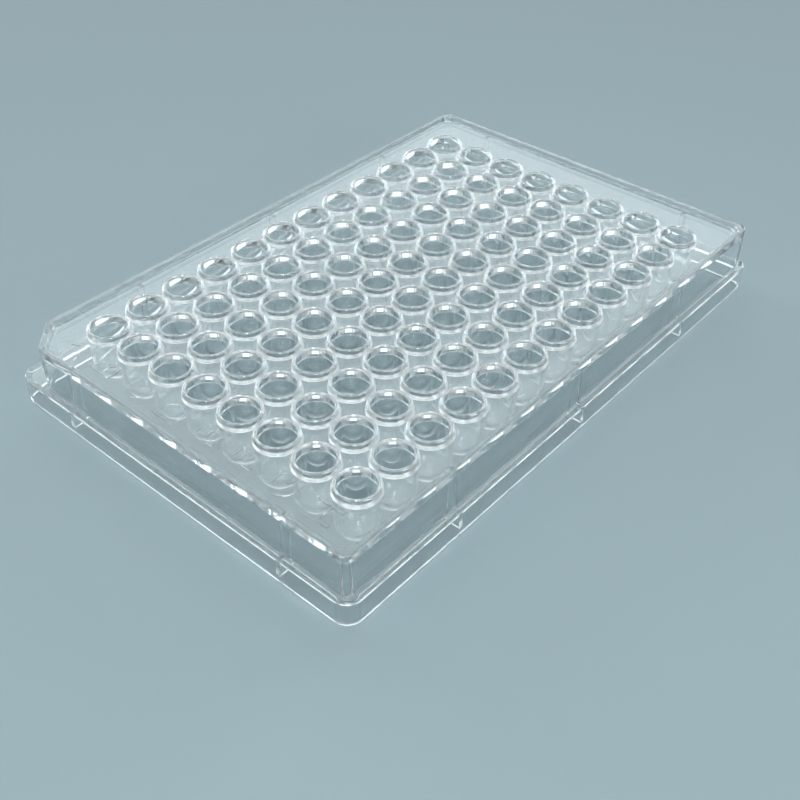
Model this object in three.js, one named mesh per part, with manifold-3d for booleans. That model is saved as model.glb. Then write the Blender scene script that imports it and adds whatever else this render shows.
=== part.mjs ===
// A 96-well microplate with round-bottomed wells: one clear moulding. A low skirt carries a ledge, the body
// wall rises from the ledge to a raised rim, and the rim frames a deck that the wells hang from.
// Millimetres, +Z up. The origin is at the centre of the surface the skirt stands on, +X runs along the
// columns 1 to 12, and +Y runs from row H to row A, so well A1 is at the -X +Y corner.

import * as THREE from "three";
import { mergeVertices } from "three/addons/utils/BufferGeometryUtils.js";
import Module from "manifold-3d";

// Grid of wells
const COLUMNS = 12;
const ROWS = 8;
const WELL_PITCH = 9;
const END_MARGIN = 14.38; // outside of the skirt to the centre of an end column
const SIDE_MARGIN = 11.24; // outside of the skirt to the centre of a side row

// Wells
const WELL_LAND = 2.14; // plastic between the mouths of two neighbours
const WELL_TAPER = 0.22; // how much smaller the radius is where the round bottom starts
const MOUTH_WALL = 0.67; // wall of the collar round the mouth
const TUBE_GAP = 0.5; // between the tubes of two neighbours, just under the deck
const WELL_FLOOR = 3.05; // lowest point inside, above the standing surface
const WELL_SKIN = 1.05; // plastic under that lowest point
const TUBE_TAPER = 0.2; // how much the outside of the tube narrows from the deck to its foot

// Heights
const PLATE_HEIGHT = 14.35;
const LEDGE_HEIGHT = 5.4;
const RIM_HEIGHT = 0.9; // rim and well mouths above the deck
const DECK_THICKNESS = 1.35;

// Walls
const WALL = 1.2;
const LEDGE_WIDTH = 1.45;
const SKIRT_CORNER_RADIUS = 3.18;
const DECK_CORNER_RADIUS = 2.4;
const A1_CORNER_CUT = 6; // length cut from each side of the body at the corner next to well A1

// Ribs inside the walls
const RIB_THICKNESS = 0.9;
const RIB_DEPTH = 2.6; // from the outside of the body wall inwards
const RIB_FOOT = 1; // lowest point, above the standing surface

// Facets
const WELL_SIDES = 8;
const CORNER_STEPS = 6;

// A round section of this radius times the growth gives a polygon of the same area.
const FACET_GROWTH = Math.sqrt((2 * Math.PI) / (WELL_SIDES * Math.sin((2 * Math.PI) / WELL_SIDES)));

// Solids that are joined reach this far into each other, and cutters reach this far past what they cut.
const OVERREACH = 0.3;

const LENGTH = (COLUMNS - 1) * WELL_PITCH + 2 * END_MARGIN;
const WIDTH = (ROWS - 1) * WELL_PITCH + 2 * SIDE_MARGIN;
const DECK_TOP = PLATE_HEIGHT - RIM_HEIGHT;
const DECK_UNDERSIDE = DECK_TOP - DECK_THICKNESS;
const MOUTH_RADIUS = (WELL_PITCH - WELL_LAND) / 2;
const ROUND_RADIUS = MOUTH_RADIUS - WELL_TAPER;
const COLLAR_RADIUS = MOUTH_RADIUS + MOUTH_WALL;
const TUBE_RADIUS = (WELL_PITCH - TUBE_GAP) / 2;
const RIB_COLUMN = (COLUMNS / 2 - 2) * WELL_PITCH;
const RIB_ROW = (ROWS / 2 - 1) * WELL_PITCH;

const wasm = await Module();
wasm.setup();

// A closed three.js geometry as a solid that can be joined and cut.
function solidOf(geometry) {
  const bare = geometry.clone();
  bare.deleteAttribute("normal");
  bare.deleteAttribute("uv");
  const merged = mergeVertices(bare);
  return new wasm.Manifold(
    new wasm.Mesh({
      numProp: 3,
      vertProperties: merged.attributes.position.array,
      triVerts: new Uint32Array(merged.index.array),
    }),
  );
}

// A rectangle inset from the skirt's outline, with round corners. A cut takes off the corner next to A1.
function outline(inset, radius, cut = 0) {
  const x = LENGTH / 2 - inset;
  const y = WIDTH / 2 - inset;
  const shape = new THREE.Shape();
  shape.absarc(x - radius, y - radius, radius, 0, Math.PI / 2);
  if (cut > 0) {
    shape.lineTo(-x + cut, y);
    shape.lineTo(-x, y - cut);
  } else {
    shape.absarc(-x + radius, y - radius, radius, Math.PI / 2, Math.PI);
  }
  shape.absarc(-x + radius, -y + radius, radius, Math.PI, 1.5 * Math.PI);
  shape.absarc(x - radius, -y + radius, radius, 1.5 * Math.PI, 2 * Math.PI);
  return shape;
}

// The outline of the body, or of a wall face that lies this far inside it: the cut corner stays parallel.
function bodyOutline(depth, radius) {
  return outline(LEDGE_WIDTH + depth, radius, A1_CORNER_CUT - depth * (2 - Math.SQRT2));
}

function prism(shape, bottom, top) {
  const options = { depth: top - bottom, bevelEnabled: false, curveSegments: CORNER_STEPS };
  return solidOf(new THREE.ExtrudeGeometry(shape, options).translate(0, 0, bottom));
}

// A profile of [radius, height] pairs turned about the Z axis, with flat sides facing along X and Y. Each
// level has the area of the circle with that radius.
function turned(profile) {
  const points = profile.map(([radius, height]) => new THREE.Vector2(radius * FACET_GROWTH, height));
  const half = Math.PI / WELL_SIDES;
  return solidOf(new THREE.LatheGeometry(points, WELL_SIDES, half).rotateX(Math.PI / 2));
}

// Skirt, ledge, body wall, rim and deck, hollow underneath.
function shell() {
  const bodyRadius = SKIRT_CORNER_RADIUS - LEDGE_WIDTH;
  const cavityRadius = SKIRT_CORNER_RADIUS - WALL;
  const skirt = prism(outline(0, SKIRT_CORNER_RADIUS), 0, LEDGE_HEIGHT);
  const body = prism(bodyOutline(0, bodyRadius), LEDGE_HEIGHT - OVERREACH, PLATE_HEIGHT);
  const skirtCavity = prism(outline(WALL, cavityRadius), -OVERREACH, LEDGE_HEIGHT - WALL);
  const bodyCavity = prism(bodyOutline(WALL, bodyRadius - WALL), -OVERREACH, DECK_UNDERSIDE);
  const recess = prism(bodyOutline(WALL, DECK_CORNER_RADIUS), DECK_TOP, PLATE_HEIGHT + OVERREACH);
  return skirt.add(body).subtract(skirtCavity).subtract(bodyCavity).subtract(recess);
}

// One rib at the -X wall: a fin from the skirt up to the deck, whose foot steps out under the ledge.
function rib(bodyHalf) {
  const inWall = WALL / 2;
  const profile = new THREE.Shape([
    new THREE.Vector2(inWall - LEDGE_WIDTH, RIB_FOOT),
    new THREE.Vector2(RIB_DEPTH, RIB_FOOT),
    new THREE.Vector2(RIB_DEPTH, DECK_UNDERSIDE + OVERREACH),
    new THREE.Vector2(inWall, DECK_UNDERSIDE + OVERREACH),
    new THREE.Vector2(inWall, LEDGE_HEIGHT - inWall),
    new THREE.Vector2(inWall - LEDGE_WIDTH, LEDGE_HEIGHT - inWall),
  ]);
  const options = { depth: RIB_THICKNESS, bevelEnabled: false };
  const fin = new THREE.ExtrudeGeometry(profile, options).rotateX(Math.PI / 2);
  return solidOf(fin.translate(-bodyHalf, RIB_THICKNESS / 2, 0));
}

// Two ribs at each end and three along each side, all between two wells.
function ribs() {
  const endRib = rib(LENGTH / 2 - LEDGE_WIDTH);
  const sideRib = rib(WIDTH / 2 - LEDGE_WIDTH).rotate([0, 0, 90]);
  const made = [];
  for (const y of [-RIB_ROW, RIB_ROW]) {
    made.push(endRib.translate([0, y, 0]));
    made.push(endRib.translate([0, y, 0]).rotate([0, 0, 180]));
  }
  for (const x of [-RIB_COLUMN, 0, RIB_COLUMN]) {
    made.push(sideRib.translate([x, 0, 0]));
    made.push(sideRib.translate([x, 0, 0]).rotate([0, 0, 180]));
  }
  return made;
}

// The tube that hangs under the deck and the thinner collar that stands on it, joined inside the deck.
function tube() {
  const foot = WELL_FLOOR - WELL_SKIN;
  return turned([
    [0, foot],
    [TUBE_RADIUS - TUBE_TAPER, foot],
    [TUBE_RADIUS, DECK_UNDERSIDE],
    [COLLAR_RADIUS, DECK_TOP - OVERREACH],
    [COLLAR_RADIUS, PLATE_HEIGHT],
    [0, PLATE_HEIGHT],
  ]);
}

// The space in a well: slightly tapered, ending in half a ball.
function wellCavity() {
  const slant = ROUND_RADIUS * Math.SQRT1_2;
  return turned([
    [0, WELL_FLOOR],
    [slant, WELL_FLOOR + ROUND_RADIUS - slant],
    [ROUND_RADIUS, WELL_FLOOR + ROUND_RADIUS],
    [MOUTH_RADIUS, PLATE_HEIGHT],
    [MOUTH_RADIUS, PLATE_HEIGHT + OVERREACH],
    [0, PLATE_HEIGHT + OVERREACH],
  ]);
}

function atEachWell(solid) {
  const placed = [];
  for (let row = 0; row < ROWS; row++) {
    for (let column = 0; column < COLUMNS; column++) {
      const x = (column - (COLUMNS - 1) / 2) * WELL_PITCH;
      const y = ((ROWS - 1) / 2 - row) * WELL_PITCH;
      placed.push(solid.translate([x, y, 0]));
    }
  }
  return placed;
}

function moulding() {
  let solid = shell();
  for (const piece of [...ribs(), ...atEachWell(tube())]) {
    solid = solid.add(piece);
  }
  for (const cavity of atEachWell(wellCavity())) {
    solid = solid.subtract(cavity);
  }
  return solid;
}

const clearPolystyrene = new THREE.MeshStandardMaterial({
  color: 0xe6f0f1,
  roughness: 0.05,
  metalness: 0,
  transparent: true,
  opacity: 0.4,
});

function meshOf(solid, name, material) {
  const { numProp, vertProperties, triVerts } = solid.getMesh();
  const geometry = new THREE.BufferGeometry();
  geometry.setAttribute("position", new THREE.BufferAttribute(vertProperties, numProp));
  geometry.setIndex(new THREE.BufferAttribute(triVerts, 1));
  geometry.computeVertexNormals();
  const mesh = new THREE.Mesh(geometry, material);
  mesh.name = name;
  return mesh;
}

const wellPlate = new THREE.Group();
wellPlate.add(meshOf(moulding(), "plate", clearPolystyrene));

export default wellPlate;
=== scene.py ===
import math

import bmesh
import bpy
from mathutils import Matrix, Vector


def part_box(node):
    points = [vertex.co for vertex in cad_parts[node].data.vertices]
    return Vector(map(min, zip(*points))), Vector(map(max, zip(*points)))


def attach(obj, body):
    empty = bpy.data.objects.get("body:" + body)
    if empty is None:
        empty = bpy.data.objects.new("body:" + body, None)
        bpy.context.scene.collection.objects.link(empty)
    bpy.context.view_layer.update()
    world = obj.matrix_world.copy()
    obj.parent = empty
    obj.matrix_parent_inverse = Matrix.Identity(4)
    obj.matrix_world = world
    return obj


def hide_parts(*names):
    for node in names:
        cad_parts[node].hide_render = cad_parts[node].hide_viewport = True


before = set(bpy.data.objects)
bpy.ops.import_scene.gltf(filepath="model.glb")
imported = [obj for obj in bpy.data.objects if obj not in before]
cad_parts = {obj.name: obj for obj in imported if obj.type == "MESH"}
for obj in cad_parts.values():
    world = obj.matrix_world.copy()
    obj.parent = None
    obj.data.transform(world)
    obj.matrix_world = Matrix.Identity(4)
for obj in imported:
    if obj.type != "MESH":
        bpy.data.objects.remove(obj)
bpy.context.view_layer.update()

bl_info = {
    "name": "Round-bottomed well plate",
    "version": (1, 0, 0),
    "blender": (4, 5, 0),
    "location": "View3D > Sidebar > Well plate",
    "description": "Models a clear 8 by 12 well plate, its plastic and a plain studio",
    "category": "Add Mesh",
}

NODE = "plate"
MM = 0.001
NODE_LOW, NODE_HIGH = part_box(NODE)
COLUMNS = 12
ROWS = 8
SIDE_EDGES = 8  # edges along each side of one well's square of deck
WELL_SEGMENTS = 4 * SIDE_EDGES
CORNER_SEGMENTS = 11  # edges round one corner of an outline
CUT_SEGMENTS = 5  # edges round each end of the cut corner
OUTLINE_VERTS = 4 * (CORNER_SEGMENTS + 1)
BRIDGE_LIFT = 2  # in millimetres
LEVEL = 1e-4  # points this close in height, in millimetres, are level
NEAR = 1e-3  # points this close in place, in millimetres, are one point
SMOOTH_ANGLE = math.radians(34)  # edges sharper than this stay sharp in the shading
CUT_ROUNDING = 0.5  # length rounded off each end of the cut corner, in millimetres
FILLET_MIDDLE = 0.3  # how far along and up a fillet's middle lies, as a share of the fillet
FILLET_ROOM = 0.8  # share of the gap between tubes that their fillets may fill
OVERREACH = 0.3  # joined solids reach this far into each other, in millimetres
BALL_STEPS = 7  # edges from a well's widest level down to its lowest point
EDGE_STEPS = 3  # edges round one rounded edge
CAP_SHARE = 0.7  # height of a capital letter over its type size
FLOOR_SIZE = 6  # in metres
FLOOR_GAP = 0.02 * MM  # keeps the floor clear of the foot
# Where the camera stands, its turn about Z, its look down and its roll, in millimetres and degrees
CAMERA_PLACE = (-138.18, -116.49, 134.87)
CAMERA_TURN = -49.32
CAMERA_DOWN = 40.126
CAMERA_ROLL = 0.56
CAMERA_LENS = 48.98
ROOM_LIGHT = 0.36
LIGHT_COLOUR = (0.88, 0.975, 1.0)
# Name, elevation and azimuth in degrees, distance and width in metres, radiance
LAMPS = (
    ("behind_left", 14, 85, 2, 1.15, 6.5),
    ("behind_right", 14, -5, 2, 1.15, 4.8),
    ("front_right", 14, -95, 2, 1.15, 4.8),
    ("front_left", 40, 175, 2, 1.22, 1.8),
    ("back", 40, 40, 2, 1.95, 1.3),
    ("key", 64, -140, 0.42, 0.08, 50),
)
# Share of the light that passes through; the rest is the faint milk of moulded plastic
CLARITY = 0.99
DRAW_MARK_SQUEEZE = 0.06  # height over width of the marks' noise, so that they stand upright
# Where an effect starts and where it is full: in noise, in pointiness, and in millimetres down
HAZE_SPOTS = (0.45, 0.8)
RUBBED_SPOTS = (0.35, 0.65)
SHARP_EDGES = (0.52, 0.6)
RIM_WEAR = (0.35, 0.05)
LEAST_WEAR = 0.25  # share of the wear where the plastic is rubbed least
SURFACE = {
    "Wave Size": 160.0,
    "Mark Size": 900.0,
    "Tube Mark Height": 1.0,
    "Haze Size": 900.0,
    "Wear Size": 700.0,
    "Clear Roughness": 0.0,
    "Hazy Roughness": 0.04,
    "Worn Roughness": 0.1,
    "Tube Roughness": 0.08,
}


# ---------------------------------------------------------------- sizes and colours


def length(name, value, description):
    return bpy.props.FloatProperty(
        name=name, description=description, default=value * MM, unit="LENGTH", precision=5
    )


class PlateSizes(bpy.types.PropertyGroup):
    pitch: length("Well pitch", 9, "Centre of one well to the next")
    mouth_radius: length("Mouth radius", 3.43, "Inside of a well at its mouth")
    round_radius: length("Round radius", 3.21, "Inside of a well where its round bottom starts")
    well_floor: length("Well floor", 3.05, "Lowest point inside a well, above the foot")
    well_skin: length("Well skin", 1.05, "Plastic under a well's lowest point")
    collar_radius: length("Collar radius", 4.1, "Outside of the collar round a well's mouth")
    tube_radius: length("Tube radius", 4.25, "Outside of a well just under the deck")
    tube_foot_radius: length("Tube foot radius", 4.13, "Outside of a well where it turns round")
    ledge_height: length("Ledge height", 5.4, "Foot to the top of the ledge")
    ledge_width: length("Ledge width", 1.45, "Skirt to the body wall")
    rim_height: length("Rim height", 0.9, "Deck to the top of the rim")
    deck_thickness: length("Deck thickness", 1.35, "Thickness of the deck")
    wall: length("Wall", 1.2, "Thickness of the skirt, the body wall and the rim")
    skirt_corner: length("Skirt corner", 3.18, "Corner radius of the skirt")
    deck_corner: length("Deck corner", 2.4, "Corner radius of the recess inside the rim")
    corner_cut: length("Corner cut", 6, "Length cut from each side at the corner by well A1")
    edge: length("Edge rounding", 0.18, "Rounding of the moulding's edges")
    mouth_edge: length("Mouth rounding", 0.32, "Rounding of both edges of a well's mouth")
    rib_thickness: length("Rib thickness", 0.9, "Thickness of a rib")
    rib_depth: length("Rib depth", 2.6, "Outside of the body wall to the inner edge of a rib")
    rib_foot: length("Rib foot", 1, "Foot to the bottom of a rib")
    letter_height: length("Letter height", 5.4, "Height of a row letter")
    letter_relief: length("Letter relief", 0.14, "How far a row letter stands above the deck")
    letter_place: length("Letter place", 7.45, "Centre of column 1 to the centre of the letters")


class PlateColours(bpy.types.PropertyGroup):
    plastic: bpy.props.FloatVectorProperty(
        name="Plastic", description="Tint that light takes at each surface", subtype="COLOR",
        size=3, min=0, max=1, default=(0.985, 0.996, 0.998),
    )
    worn_plastic: bpy.props.FloatVectorProperty(
        name="Worn plastic", description="The same tint where edges are rubbed", subtype="COLOR",
        size=3, min=0, max=1, default=(0.97, 0.985, 0.99),
    )
    floor: bpy.props.FloatVectorProperty(
        name="Floor", description="Colour of the studio floor", subtype="COLOR",
        size=3, min=0, max=1, default=(0.287, 0.345, 0.367),
    )
    refraction: bpy.props.FloatProperty(
        name="Refraction", description="Index of refraction of the plastic", default=1.59,
    )


def sizes():
    """The plate's lengths in millimetres, the unit that the piece is modelled in."""
    group = bpy.context.scene.plate_sizes
    return {name: getattr(group, name) / MM for name in PlateSizes.__annotations__}


# ---------------------------------------------------------------- modelling helpers


def clear_selection():
    if bpy.context.mode != "OBJECT":
        bpy.ops.object.mode_set(mode="OBJECT")
    bpy.ops.object.select_all(action="DESELECT")


def make_active(piece):
    clear_selection()
    piece.select_set(True)
    bpy.context.view_layer.objects.active = piece


def edit(piece):
    make_active(piece)
    bpy.ops.object.mode_set(mode="EDIT")
    bpy.ops.mesh.select_mode(type="VERT")


def leave_edit():
    bpy.ops.object.mode_set(mode="OBJECT")


def pick(piece, wanted):
    """Selects the vertices of a piece in edit mode that wanted(vertex) is true for."""
    bpy.ops.mesh.select_all(action="DESELECT")
    mesh = bmesh.from_edit_mesh(piece.data)
    mesh.verts.ensure_lookup_table()
    for vertex in mesh.verts:
        vertex.select = wanted(vertex)
    mesh.select_flush(True)
    bmesh.update_edit_mesh(piece.data)


def pick_edges(piece, wanted):
    bpy.ops.mesh.select_mode(type="EDGE")
    bpy.ops.mesh.select_all(action="DESELECT")
    mesh = bmesh.from_edit_mesh(piece.data)
    for line in mesh.edges:
        if wanted(line):
            line.select = True
    bmesh.update_edit_mesh(piece.data)


def join(piece, others):
    make_active(piece)
    for other in others:
        other.select_set(True)
    bpy.ops.object.join()


def apply_modifier(piece, kind, **settings):
    make_active(piece)
    modifier = piece.modifiers.new(kind.title(), kind)
    for name, value in settings.items():
        setattr(modifier, name, value)
    bpy.ops.object.modifier_apply(modifier=modifier.name)


def apply_place(piece):
    make_active(piece)
    bpy.ops.object.transform_apply(location=True, rotation=True, scale=True)


def quarter(radius, steps):
    """Points of a quarter round of this radius, as (how far along, how far up), ends included."""
    turns = [math.pi / 2 * step / steps for step in range(steps + 1)]
    return [(radius * (1 - math.cos(a)), radius * math.sin(a)) for a in turns]


# ---------------------------------------------------------------- wells


def turned_rings(rings):
    """A surface turned about Z through rings given as (radius, height)."""
    radius, height = rings[0]
    bpy.ops.mesh.primitive_circle_add(
        vertices=WELL_SEGMENTS, radius=radius, location=(0, 0, height), fill_type="NOTHING"
    )
    for (old_radius, old_height), (radius, height) in zip(rings, rings[1:]):
        move = {"value": (0, 0, height - old_height)}
        bpy.ops.mesh.extrude_region_move(TRANSFORM_OT_translate=move)
        if radius > 0:
            grow = radius / old_radius
            bpy.ops.transform.resize(value=(grow, grow, 1), center_override=(0, 0, height))
        else:
            bpy.ops.mesh.merge(type="CENTER")


def deck_square(piece, pitch, height, hole):
    """The square of deck round one well, bridged to the circle of this radius at its middle.

    The square is added above its level and lowered once it is bridged, as in bridged()."""
    raised = height + BRIDGE_LIFT
    bpy.ops.mesh.primitive_grid_add(
        x_subdivisions=SIDE_EDGES, y_subdivisions=SIDE_EDGES, size=pitch, location=(0, 0, raised)
    )
    border = pitch / 2 - LEVEL

    def in_square(v):
        return abs(v.co.z - raised) < LEVEL and max(abs(v.co.x), abs(v.co.y)) < border

    def on_border(v):
        return abs(v.co.z - raised) < LEVEL and max(abs(v.co.x), abs(v.co.y)) > border

    def on_hole(v):
        return abs(v.co.z - height) < LEVEL and on_circle(v, hole)

    pick(piece, in_square)
    bpy.ops.mesh.delete(type="VERT")
    pick_edges(piece, lambda e: all(map(on_border, e.verts)) or all(map(on_hole, e.verts)))
    bpy.ops.mesh.bridge_edge_loops()
    bpy.ops.mesh.select_mode(type="VERT")
    pick(piece, on_border)
    bpy.ops.transform.translate(value=(0, 0, -BRIDGE_LIFT))


def on_circle(vertex, radius):
    return abs(math.hypot(vertex.co.x, vertex.co.y) - radius) < NEAR


def ball_rings(radius, middle, drop):
    """Rings from the widest level of a round bottom down to its lowest point."""
    turns = [math.pi / 2 * step / BALL_STEPS for step in range(1, BALL_STEPS + 1)]
    rings = [(radius * math.cos(a), middle - drop * math.sin(a)) for a in turns]
    rings[-1] = (0, middle - drop)
    return rings


def well_sheet(s, deck_top, deck_underside):
    """Every well with its square of deck above and below, as one sheet each, open at the border."""
    top = NODE_HIGH.z / MM
    edge = s["edge"]
    bpy.ops.mesh.primitive_circle_add(vertices=3, radius=1)
    piece = bpy.context.object
    edit(piece)
    bpy.ops.mesh.select_all(action="SELECT")
    bpy.ops.mesh.delete(type="VERT")
    collar, mouth, round_radius = s["collar_radius"], s["mouth_radius"], s["round_radius"]
    middle = s["well_floor"] + round_radius
    foot = [(collar + edge - up, deck_top + along) for along, up in quarter(edge, 2)]
    lip = s["mouth_edge"]
    rounding = quarter(lip, EDGE_STEPS)
    outer_edge = [(collar - along, top - lip + up) for along, up in rounding]
    inner_edge = [(mouth + along, top - lip + up) for along, up in reversed(rounding)]
    inside = foot + outer_edge + inner_edge + [(round_radius, middle)]
    turned_rings(inside + ball_rings(round_radius, middle, round_radius))
    deck_square(piece, s["pitch"], deck_top, foot[0][0])
    tube, tube_foot = s["tube_radius"], s["tube_foot_radius"]
    drop = middle - s["well_floor"] + s["well_skin"]
    fillet = min(2 * edge, (s["pitch"] / 2 - tube) * FILLET_ROOM)
    outside = [(tube + fillet, deck_underside)]
    outside += [(tube + fillet / 4, deck_underside - fillet / 4), (tube, deck_underside - fillet)]
    outside += [(tube_foot, middle)]
    turned_rings(outside + ball_rings(tube_foot, middle, drop))
    deck_square(piece, s["pitch"], deck_underside, outside[0][0])
    leave_edit()
    for axis, count in ((0, COLUMNS), (1, ROWS)):
        step = [0, 0, 0]
        step[axis] = s["pitch"]
        apply_modifier(
            piece, "ARRAY", count=count, use_relative_offset=False, use_constant_offset=True,
            constant_offset_displace=step, use_merge_vertices=True, merge_threshold=NEAR,
        )
    edit(piece)
    bpy.ops.mesh.select_all(action="SELECT")
    middle_of_grid = (-(COLUMNS - 1) / 2 * s["pitch"], -(ROWS - 1) / 2 * s["pitch"], 0)
    bpy.ops.transform.translate(value=middle_of_grid)
    leave_edit()
    return piece


# ---------------------------------------------------------------- skirt, body, rim


def outline(inset, radius, height, cut=0):
    """A closed line inset from the skirt, with round corners, and a cut one next to well A1."""
    half_x = NODE_HIGH.x / MM - inset
    half_y = NODE_HIGH.y / MM - inset
    bpy.ops.mesh.primitive_plane_add(size=2, location=(0, 0, 0))
    piece = bpy.context.object
    edit(piece)
    bpy.ops.transform.resize(value=(half_x, half_y, 1), center_override=(0, 0, 0))
    bpy.ops.transform.translate(value=(0, 0, height))
    round_corner = {"affect": "VERTICES", "segments": CORNER_SEGMENTS, "profile": 0.5}

    def by_a1(v):
        return v.co.x < 0 < v.co.y

    if cut > 0:
        pick(piece, by_a1)
        bpy.ops.mesh.bevel(offset=cut, segments=1, affect="VERTICES")
        pick(piece, by_a1)
        bpy.ops.mesh.bevel(
            offset=CUT_ROUNDING, segments=CUT_SEGMENTS, affect="VERTICES", profile=0.5
        )
        pick(piece, lambda v: not by_a1(v))
        bpy.ops.mesh.bevel(offset=radius, **round_corner)
    else:
        bpy.ops.mesh.select_all(action="SELECT")
        bpy.ops.mesh.bevel(offset=radius, **round_corner)
    bpy.ops.mesh.select_all(action="SELECT")
    bpy.ops.mesh.delete(type="ONLY_FACE")
    leave_edit()
    assert len(piece.data.vertices) == OUTLINE_VERTS
    return piece


def bridged(outlines):
    """One surface through a list of outlines, in order.

    Two outlines at one height are bridged with the second lifted, because level ones can pair
    across."""
    piece = outline(*outlines[0])
    for before, (inset, radius, height, *cut) in zip(outlines, outlines[1:]):
        lift = BRIDGE_LIFT if abs(before[2] - height) < LEVEL else 0
        join(piece, [outline(inset, radius, height + lift, *cut)])
        edit(piece)
        count = len(piece.data.vertices)
        pick(piece, lambda v: v.index >= count - 2 * OUTLINE_VERTS)
        bpy.ops.mesh.select_mode(type="EDGE")
        bpy.ops.mesh.bridge_edge_loops()
        bpy.ops.mesh.select_mode(type="VERT")
        pick(piece, lambda v: v.index >= count - OUTLINE_VERTS)
        bpy.ops.transform.translate(value=(0, 0, -lift))
        leave_edit()
    return piece


def shell(s, deck_top, deck_underside):
    """From the deck over the rim, down the body and the skirt, round the foot and up inside."""
    top = NODE_HIGH.z / MM
    edge, wall, ledge = s["edge"], s["wall"], s["ledge_width"]
    body_corner = s["skirt_corner"] - ledge
    inner_corner = body_corner - wall

    def cut(depth):
        return s["corner_cut"] - depth * (2 - math.sqrt(2))

    def body(depth, height, radius=None):
        radius = body_corner - depth if radius is None else radius
        return (ledge + depth, radius, height, cut(depth))

    def skirt(depth, height):
        return (depth, s["skirt_corner"] - depth, height)

    def recess(depth, height):
        return body(wall + depth, height, s["deck_corner"] - depth)

    fine = quarter(edge, EDGE_STEPS)
    inner = edge * FILLET_MIDDLE
    loops = [recess(edge, deck_top), recess(inner, deck_top + inner)]
    loops += [recess(0, deck_top + edge)]
    loops += [recess(-along, top - edge + up) for along, up in fine]
    loops += [body(along, top - edge + up) for along, up in reversed(fine)]
    loops += [body(0, s["ledge_height"] + edge), body(-inner, s["ledge_height"] + inner)]
    loops += [body(-edge, s["ledge_height"])]
    loops += [skirt(along, s["ledge_height"] - edge + up) for along, up in reversed(fine)]
    loops += [skirt(along, edge - up) for along, up in fine]
    loops += [skirt(wall - along, edge - up) for along, up in reversed(fine)]
    loops += [skirt(wall, s["ledge_height"] - wall)]
    loops += [body(wall, s["ledge_height"] - wall, inner_corner)]
    loops += [body(wall, deck_underside - edge, inner_corner)]
    loops += [body(wall + edge, deck_underside, inner_corner)]
    return bridged(loops)


def angle_of(vertex):
    return math.atan2(vertex.co.y, vertex.co.x) % math.tau


def close_deck(piece, s, height):
    """Closes the deck at this height with four faces, one at each side of the wells.

    Each face runs from one corner of the wells' border to the next, and out to the shell."""
    half_x = COLUMNS / 2 * s["pitch"]
    half_y = ROWS / 2 * s["pitch"]
    edit(piece)
    mesh = bmesh.from_edit_mesh(piece.data)
    level = [v for v in mesh.verts if abs(v.co.z - height) < NEAR and v.is_boundary]
    border = [v for v in level if abs(v.co.x) < half_x + NEAR and abs(v.co.y) < half_y + NEAR]
    inside = {v.index for v in border}
    shell_loop = [v for v in level if v.index not in inside]
    corners = [Vector((x, y, height)) for x, y in ((half_x, half_y), (-half_x, half_y))]
    corners += [Vector((-c.x, -c.y, height)) for c in corners]

    def nearest(verts, point):
        return min(verts, key=lambda v: (round((v.co - point).length, 4), angle_of(v)))

    ends = [(nearest(border, c), nearest(shell_loop, c)) for c in corners]
    angles = [[angle_of(v) for v in pair] for pair in ends]
    rings = [[(v.index, angle_of(v)) for v in ring] for ring in (border, shell_loop)]
    joints = [{v.index for v in pair} for pair in ends]
    for joint in joints:
        pick(piece, lambda v: v.index in joint)
        bpy.ops.mesh.edge_face_add()
    for side in range(4):
        start, end = angles[side], angles[(side + 1) % 4]
        chosen = set()
        for ring, low, high in zip(rings, start, end):
            span = (high - low) % math.tau + 1e-6
            chosen |= {index for index, angle in ring if (angle - low + 1e-7) % math.tau < span}
        pick(piece, lambda v: v.index in chosen)
        bpy.ops.mesh.edge_face_add()
    leave_edit()


# ---------------------------------------------------------------- ribs and letters


def rib(s, half, deck_underside):
    """A fin inside the wall at -X, whose foot steps out under the ledge."""
    in_wall = s["wall"] / 2
    body_face = -(half - s["ledge_width"])
    low, high = s["rib_foot"], deck_underside + OVERREACH
    step = s["ledge_height"] - in_wall
    size = Vector((s["rib_depth"] - in_wall, s["rib_thickness"], high - low))
    middle = (body_face + (s["rib_depth"] + in_wall) / 2, 0, (low + high) / 2)
    bpy.ops.mesh.primitive_cube_add(size=1, location=(0, 0, 0))
    piece = bpy.context.object
    edit(piece)
    bpy.ops.transform.resize(value=size, center_override=(0, 0, 0))
    bpy.ops.transform.translate(value=middle)
    bpy.ops.mesh.select_all(action="SELECT")
    bpy.ops.mesh.bisect(plane_co=(0, 0, step), plane_no=(0, 0, 1))
    outer = body_face + in_wall + NEAR
    pick(piece, lambda v: v.co.x < outer and v.co.z < step + NEAR)
    bpy.ops.mesh.extrude_region_move(
        TRANSFORM_OT_translate={"value": (-s["ledge_width"], 0, 0)}
    )
    inner = body_face + s["rib_depth"] - NEAR

    def upright_or_foot(line):
        start, end = (v.co for v in line.verts)
        along_foot = max(start.z, end.z) < low + NEAR and abs(start.y - end.y) < LEVEL
        return min(start.x, end.x) > inner or along_foot

    pick_edges(piece, upright_or_foot)
    bpy.ops.mesh.bevel(offset=s["edge"] / 2, segments=2, affect="EDGES")
    leave_edit()
    return piece


def copy_of(piece, turn, move):
    """A copy of a piece with its own mesh, turned about Z and then moved."""
    make_active(piece)
    bpy.ops.object.duplicate(linked=False)
    copy = bpy.context.object
    copy.rotation_euler.z = turn
    copy.location = move
    apply_place(copy)
    return copy


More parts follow.
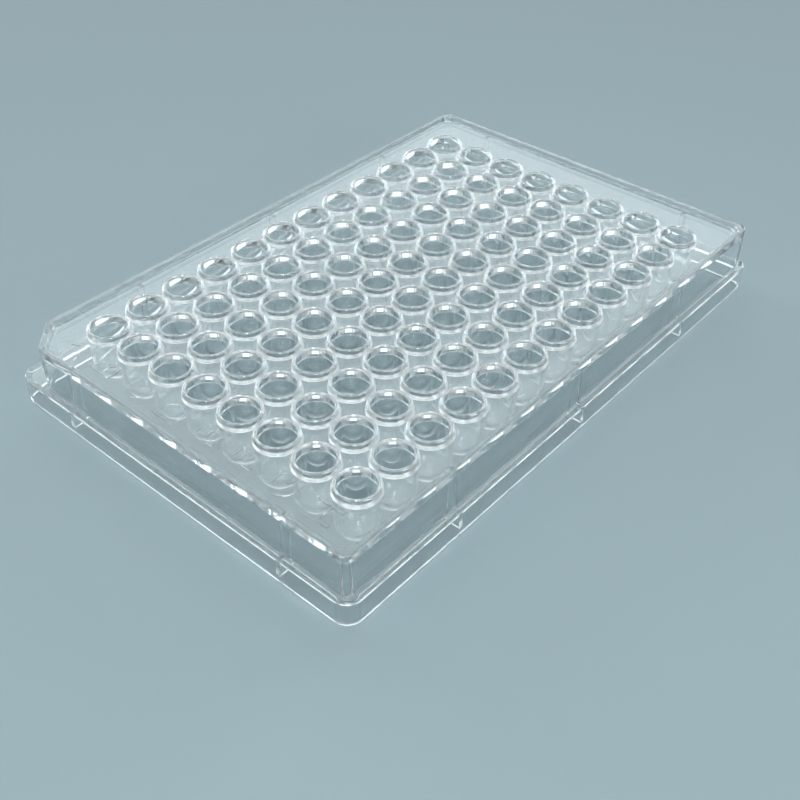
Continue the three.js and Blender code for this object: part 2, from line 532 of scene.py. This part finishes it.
def ribs(s, deck_underside):
    end_rib = rib(s, NODE_HIGH.x / MM, deck_underside)
    side_rib = rib(s, NODE_HIGH.y / MM, deck_underside)
    row_place = (ROWS / 2 - 1) * s["pitch"]
    column_place = (COLUMNS / 2 - 2) * s["pitch"]
    made = []
    for turn in (0, math.pi):
        made += [copy_of(end_rib, turn, (0, y, 0)) for y in (-row_place, row_place)]
    for turn in (math.pi / 2, -math.pi / 2):
        made += [copy_of(side_rib, turn, (x, 0, 0)) for x in (-column_place, 0, column_place)]
    clear_selection()
    end_rib.select_set(True)
    side_rib.select_set(True)
    bpy.ops.object.delete()
    return made


def row_letters(s, deck_top):
    """Plain raised letters A to H on the deck, one beside each row."""
    made = []
    first_column = -(COLUMNS - 1) / 2 * s["pitch"]
    for row in range(ROWS):
        bpy.ops.object.text_add(location=(0, 0, 0))
        piece = bpy.context.object
        piece.data.body = chr(ord("A") + row)
        piece.data.align_x = "CENTER"
        piece.data.align_y = "CENTER"
        piece.data.size = s["letter_height"] / CAP_SHARE
        piece.data.extrude = (OVERREACH + s["letter_relief"]) / 2
        piece.data.resolution_u = 6
        make_active(piece)
        bpy.ops.object.convert(target="MESH")
        piece = bpy.context.object
        place = ((ROWS - 1) / 2 - row) * s["pitch"]
        low = Vector([min(v.co[i] for v in piece.data.vertices) for i in range(3)])
        high = Vector([max(v.co[i] for v in piece.data.vertices) for i in range(3)])
        centre = (low + high) / 2
        level = deck_top + (s["letter_relief"] - OVERREACH) / 2
        piece.location = Vector((first_column - s["letter_place"], place, level)) - centre
        apply_place(piece)
        edit(piece)
        bpy.ops.mesh.select_all(action="SELECT")
        bpy.ops.mesh.remove_doubles(threshold=NEAR)
        bpy.ops.mesh.normals_make_consistent(inside=False)
        leave_edit()
        made.append(piece)
    return made


# ---------------------------------------------------------------- materials


def socket(tree, name, direction, kind, value=None):
    made = tree.interface.new_socket(name=name, in_out=direction, socket_type=kind)
    if value is not None:
        made.default_value = value
    return made


def moulded_surface_group(s, deck_underside):
    """Flow waves, upright draw marks on the tubes, faint haze, and wear on edges and rim tops."""
    tree = bpy.data.node_groups.new("moulded_surface", "ShaderNodeTree")
    socket(tree, "Clear Colour", "INPUT", "NodeSocketColor", (1, 1, 1, 1))
    socket(tree, "Worn Colour", "INPUT", "NodeSocketColor", (1, 1, 1, 1))
    for name, value in SURFACE.items():
        socket(tree, name, "INPUT", "NodeSocketFloat", value)
    socket(tree, "Color", "OUTPUT", "NodeSocketColor")
    socket(tree, "Roughness", "OUTPUT", "NodeSocketFloat")
    socket(tree, "Height", "OUTPUT", "NodeSocketFloat")
    nodes, links = tree.nodes, tree.links
    given = nodes.new("NodeGroupInput")
    result = nodes.new("NodeGroupOutput")
    place = nodes.new("ShaderNodeTexCoord").outputs["Object"]

    def noise(vector, scale, detail):
        node = nodes.new("ShaderNodeTexNoise")
        node.inputs["Detail"].default_value = detail
        links.new(vector, node.inputs["Vector"])
        links.new(given.outputs[scale], node.inputs["Scale"])
        return node.outputs["Fac"]

    def ramp(value, low, high, to_low=0.0, to_high=1.0):
        node = nodes.new("ShaderNodeMapRange")
        links.new(value, node.inputs["Value"])
        ends = {"From Min": low, "From Max": high, "To Min": to_low, "To Max": to_high}
        for name, end in ends.items():
            if isinstance(end, str):
                links.new(given.outputs[end], node.inputs[name])
            else:
                node.inputs[name].default_value = end
        return node.outputs["Result"]

    def maths(operation, first, second=0):
        node = nodes.new("ShaderNodeMath")
        node.operation = operation
        for place_in, value in zip(node.inputs, (first, second)):
            if isinstance(value, (int, float)):
                place_in.default_value = value
            else:
                links.new(value, place_in)
        return node.outputs["Value"]

    def vector_maths(operation, first, *others):
        node = nodes.new("ShaderNodeVectorMath")
        node.operation = operation
        links.new(first, node.inputs[0])
        for place_in, value in zip(node.inputs[1:], others):
            place_in.default_value = value
        return node.outputs["Value" if operation == "LENGTH" else "Vector"]

    def parts_of(vector):
        node = nodes.new("ShaderNodeSeparateXYZ")
        links.new(vector, node.inputs["Vector"])
        return node.outputs

    upright = nodes.new("ShaderNodeMapping")
    upright.inputs["Scale"].default_value = (1, 1, DRAW_MARK_SQUEEZE)
    links.new(place, upright.inputs["Vector"])
    marks = noise(upright.outputs["Vector"], "Mark Size", 1.0)
    wave = noise(place, "Wave Size", 1.0)
    haze = ramp(noise(place, "Haze Size", 3.0), *HAZE_SPOTS, "Clear Roughness", "Hazy Roughness")

    # Distance from the axis of the nearest well, or lower down from the middle of its round bottom
    pitch, middle = s["pitch"] * MM, (s["well_floor"] + s["round_radius"]) * MM
    cell = vector_maths("FRACTION", vector_maths("MULTIPLY", place, (1 / pitch, 1 / pitch, 0)))
    off_axis = vector_maths("SUBTRACT", cell, (0.5, 0.5, 0))
    from_axis = vector_maths("LENGTH", vector_maths("MULTIPLY", off_axis, (pitch, pitch, 0)))
    split = parts_of(place)
    below = maths("MINIMUM", maths("SUBTRACT", split["Z"], middle), 0)
    distance = maths("SQRT", maths("ADD", maths("POWER", from_axis, 2), maths("POWER", below, 2)))
    outside = maths("GREATER_THAN", distance, (s["mouth_radius"] + s["tube_radius"]) / 2 * MM)
    under_deck = maths("LESS_THAN", split["Z"], deck_underside * MM)
    in_grid_x = maths("LESS_THAN", maths("ABSOLUTE", split["X"]), COLUMNS / 2 * pitch)
    in_grid_y = maths("LESS_THAN", maths("ABSOLUTE", split["Y"]), ROWS / 2 * pitch)
    in_grid = maths("MULTIPLY", in_grid_x, in_grid_y)
    on_tube = maths("MULTIPLY", maths("MULTIPLY", outside, under_deck), in_grid)

    rim_top = ramp(split["Z"], *(NODE_HIGH.z - depth * MM for depth in RIM_WEAR))
    edges = ramp(nodes.new("ShaderNodeNewGeometry").outputs["Pointiness"], *SHARP_EDGES)
    rubbed = ramp(noise(place, "Wear Size", 2.0), *RUBBED_SPOTS, LEAST_WEAR, 1.0)
    wear = maths("MULTIPLY", maths("MAXIMUM", rim_top, edges), rubbed)

    tint = nodes.new("ShaderNodeMix")
    tint.data_type = "RGBA"
    links.new(wear, tint.inputs[0])
    links.new(given.outputs["Clear Colour"], tint.inputs[6])
    links.new(given.outputs["Worn Colour"], tint.inputs[7])
    links.new(tint.outputs[2], result.inputs["Color"])
    worn = maths("MULTIPLY", wear, given.outputs["Worn Roughness"])
    drawn = maths("MULTIPLY", on_tube, given.outputs["Tube Roughness"])
    links.new(maths("ADD", maths("ADD", haze, worn), drawn), result.inputs["Roughness"])
    mark_height = maths("MULTIPLY", on_tube, given.outputs["Tube Mark Height"])
    marked = maths("MULTIPLY", marks, mark_height)
    links.new(maths("ADD", wave, marked), result.inputs["Height"])
    return tree


def clear_plastic(s, deck_underside):
    colours = bpy.context.scene.plate_colours
    material = bpy.data.materials.new("clear_polystyrene")
    material.use_nodes = True
    nodes, links = material.node_tree.nodes, material.node_tree.links
    shader = nodes["Principled BSDF"]
    shader.inputs["Transmission Weight"].default_value = CLARITY
    shader.inputs["IOR"].default_value = colours.refraction
    surface = nodes.new("ShaderNodeGroup")
    surface.node_tree = moulded_surface_group(s, deck_underside)
    surface.inputs["Clear Colour"].default_value = (*colours.plastic, 1)
    surface.inputs["Worn Colour"].default_value = (*colours.worn_plastic, 1)
    bump = nodes.new("ShaderNodeBump")
    bump.inputs["Strength"].default_value = 0.08
    bump.inputs["Distance"].default_value = 0.1 * MM
    links.new(surface.outputs["Color"], shader.inputs["Base Color"])
    links.new(surface.outputs["Roughness"], shader.inputs["Roughness"])
    links.new(surface.outputs["Height"], bump.inputs["Height"])
    links.new(bump.outputs["Normal"], shader.inputs["Normal"])
    return material


# ---------------------------------------------------------------- operators


class WELLPLATE_OT_plate(bpy.types.Operator):
    """Model the plate as one closed moulding"""

    bl_idname = "wellplate.plate"
    bl_label = "Plate"

    def execute(self, context):
        s = sizes()
        clear_selection()
        deck_top = NODE_HIGH.z / MM - s["rim_height"]
        deck_underside = deck_top - s["deck_thickness"]
        piece = shell(s, deck_top, deck_underside)
        join(piece, [well_sheet(s, deck_top, deck_underside)])
        close_deck(piece, s, deck_top)
        close_deck(piece, s, deck_underside)
        edit(piece)
        bpy.ops.mesh.select_all(action="SELECT")
        bpy.ops.mesh.remove_doubles(threshold=LEVEL)
        bpy.ops.mesh.normals_make_consistent(inside=False)
        leave_edit()
        additions = ribs(s, deck_underside) + row_letters(s, deck_top)
        join(additions[0], additions[1:])
        apply_modifier(
            piece, "BOOLEAN", operation="UNION", solver="EXACT", object=additions[0]
        )
        clear_selection()
        additions[0].select_set(True)
        bpy.ops.object.delete()
        piece.name = "clear_plate"
        piece.data.name = "clear_plate"
        piece.scale = (MM, MM, MM)
        apply_place(piece)
        bpy.ops.object.shade_smooth_by_angle(angle=SMOOTH_ANGLE)
        apply_modifier(piece, "WEIGHTED_NORMAL", keep_sharp=True)
        piece.data.materials.clear()
        piece.data.materials.append(clear_plastic(s, deck_underside))
        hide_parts(NODE)
        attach(piece, "root")
        return {"FINISHED"}


class WELLPLATE_OT_stage(bpy.types.Operator):
    """Set the plain floor, the soft lamps and the camera"""

    bl_idname = "wellplate.stage"
    bl_label = "Studio"

    def execute(self, context):
        clear_selection()
        floor_material = bpy.data.materials.new("plain_floor")
        floor_material.use_nodes = True
        shader = floor_material.node_tree.nodes["Principled BSDF"]
        shader.inputs["Base Color"].default_value = (*context.scene.plate_colours.floor, 1)
        shader.inputs["Roughness"].default_value = 0.9
        shader.inputs["Specular IOR Level"].default_value = 0.1
        bpy.ops.mesh.primitive_plane_add(size=FLOOR_SIZE, location=(0, 0, NODE_LOW.z - FLOOR_GAP))
        floor = bpy.context.object
        floor.name = "floor"
        floor.data.materials.append(floor_material)
        for lamp in LAMPS:
            self.lamp(*lamp)
        world = bpy.data.worlds.new("studio")
        context.scene.world = world
        world.use_nodes = True
        background = world.node_tree.nodes["Background"]
        background.inputs["Color"].default_value = (*LIGHT_COLOUR, 1)
        background.inputs["Strength"].default_value = ROOM_LIGHT
        self.camera(context)
        self.light_paths(context.scene.cycles)
        context.scene.view_settings.view_transform = "Standard"
        return {"FINISHED"}

    def lamp(self, name, elevation, azimuth, distance, width, radiance):
        up, round_z = math.radians(elevation), math.radians(azimuth)
        level = Vector((math.cos(round_z), math.sin(round_z), 0)) * math.cos(up)
        way = level + Vector((0, 0, math.sin(up)))
        bpy.ops.object.light_add(type="AREA", location=way * distance)
        lamp = bpy.context.object
        lamp.name = name
        lamp.data.shape = "DISK"
        lamp.data.size = width
        lamp.data.color = LIGHT_COLOUR
        lamp.data.energy = radiance * (math.pi * width / 2) ** 2
        lamp.rotation_euler = (-way).to_track_quat("-Z", "Y").to_euler()

    def light_paths(self, cycles):
        """Lets light through all the walls in a line of wells, with nothing blurred on the way."""
        cycles.max_bounces = 128
        cycles.transmission_bounces = 128
        cycles.glossy_bounces = 32
        cycles.diffuse_bounces = 4
        cycles.blur_glossy = 0

    def camera(self, context):
        turn = Matrix.Rotation(math.radians(CAMERA_TURN), 3, "Z")
        tilt = Matrix.Rotation(math.radians(90 - CAMERA_DOWN), 3, "X")
        roll = Matrix.Rotation(math.radians(CAMERA_ROLL), 3, "Z")
        bpy.ops.object.camera_add(location=Vector(CAMERA_PLACE) * MM)
        camera = bpy.context.object
        camera.rotation_euler = (turn @ tilt @ roll).to_euler()
        camera.data.sensor_width = 36
        camera.data.lens = CAMERA_LENS
        camera.data.clip_start = 0.005
        context.scene.camera = camera


class WELLPLATE_PT_panel(bpy.types.Panel):
    """Lists the plate's operators and sizes"""

    bl_idname = "WELLPLATE_PT_panel"
    bl_label = "Well plate"
    bl_space_type = "VIEW_3D"
    bl_region_type = "UI"
    bl_category = "Well plate"

    def draw(self, context):
        for name in PlateColours.__annotations__:
            self.layout.prop(context.scene.plate_colours, name)
        for name in PlateSizes.__annotations__:
            self.layout.prop(context.scene.plate_sizes, name)
        self.layout.operator(WELLPLATE_OT_plate.bl_idname)
        self.layout.operator(WELLPLATE_OT_stage.bl_idname)


CLASSES = (PlateSizes, PlateColours, WELLPLATE_OT_plate, WELLPLATE_OT_stage, WELLPLATE_PT_panel)


def register():
    for kind in CLASSES:
        bpy.utils.register_class(kind)
    bpy.types.Scene.plate_sizes = bpy.props.PointerProperty(type=PlateSizes)
    bpy.types.Scene.plate_colours = bpy.props.PointerProperty(type=PlateColours)


def unregister():
    del bpy.types.Scene.plate_colours
    del bpy.types.Scene.plate_sizes
    for kind in reversed(CLASSES):
        bpy.utils.unregister_class(kind)


def main():
    register()
    bpy.ops.wellplate.plate()
    bpy.ops.wellplate.stage()


if __name__ == "__main__":
    main()
